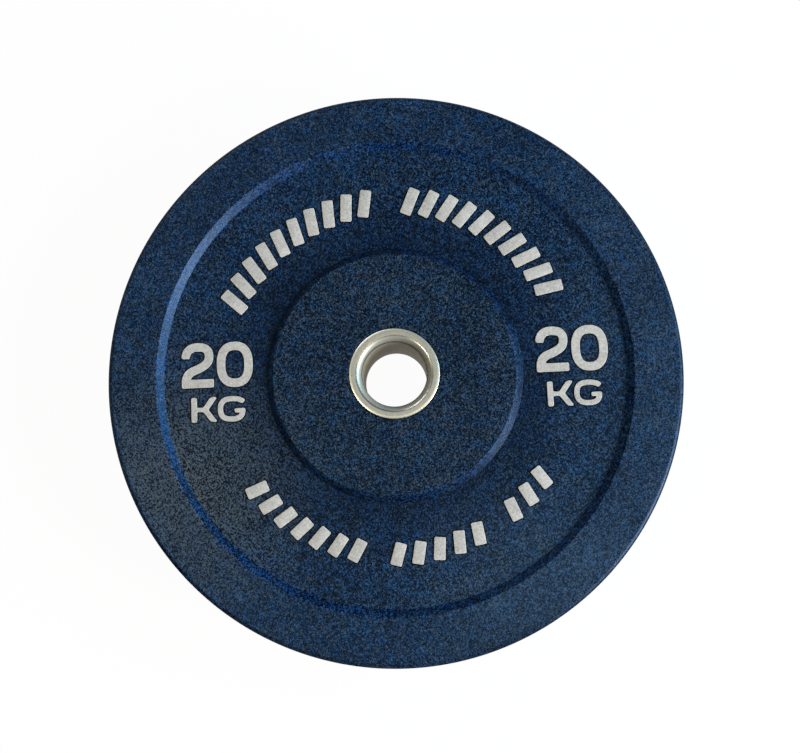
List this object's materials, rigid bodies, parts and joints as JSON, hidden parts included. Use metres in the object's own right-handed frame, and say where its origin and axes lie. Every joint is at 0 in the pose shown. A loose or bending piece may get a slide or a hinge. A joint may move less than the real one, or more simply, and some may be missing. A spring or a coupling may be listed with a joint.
{
  "type": "bumper plate",
  "caption": "Thick rubber weight plate with a raised rim and hub, a flared steel centre bore for a bar sleeve, and inlaid weight marks on both faces.",
  "frame": {"origin": "centre of the bore, half way through the plate", "axes": "+Z along the bore out of the front face, +X to the right and +Y to the top of the marks on the front face"},
  "size_m": [0.45, 0.45, 0.075],
  "materials": {
    "crumb_rubber": "pressed crumb rubber, blue and black granules, matt",
    "inlay_rubber": "light warm grey rubber, matt, fine grain",
    "collar_steel": "satin turned steel",
    "sleeve_steel": "dull drawn steel tube",
    "anchor_steel": "bare mild steel, sealed in rubber"
  },
  "bodies": {
    "root": {"anchor_disc": "anchor_steel", "front_collar": "collar_steel", "front_left_letter_g": "inlay_rubber", "front_left_letter_k": "inlay_rubber", "front_left_numeral_0": "inlay_rubber", "front_left_numeral_2": "inlay_rubber", "front_lower_left_stripes": "inlay_rubber", "front_lower_middle_stripes": "inlay_rubber", "front_lower_right_stripes": "inlay_rubber", "front_right_letter_g": "inlay_rubber", "front_right_letter_k": "inlay_rubber", "front_right_numeral_0": "inlay_rubber", "front_right_numeral_2": "inlay_rubber", "front_upper_left_stripes": "inlay_rubber", "front_upper_right_stripes": "inlay_rubber", "hub_sleeve": "sleeve_steel", "rear_collar": "collar_steel", "rear_left_letter_g": "inlay_rubber", "rear_left_letter_k": "inlay_rubber", "rear_left_numeral_0": "inlay_rubber", "rear_left_numeral_2": "inlay_rubber", "rear_lower_left_stripes": "inlay_rubber", "rear_lower_middle_stripes": "inlay_rubber", "rear_lower_right_stripes": "inlay_rubber", "rear_right_letter_g": "inlay_rubber", "rear_right_letter_k": "inlay_rubber", "rear_right_numeral_0": "inlay_rubber", "rear_right_numeral_2": "inlay_rubber", "rear_upper_left_stripes": "inlay_rubber", "rear_upper_right_stripes": "inlay_rubber", "rubber_body": "crumb_rubber"}
  },
  "joints": []
}
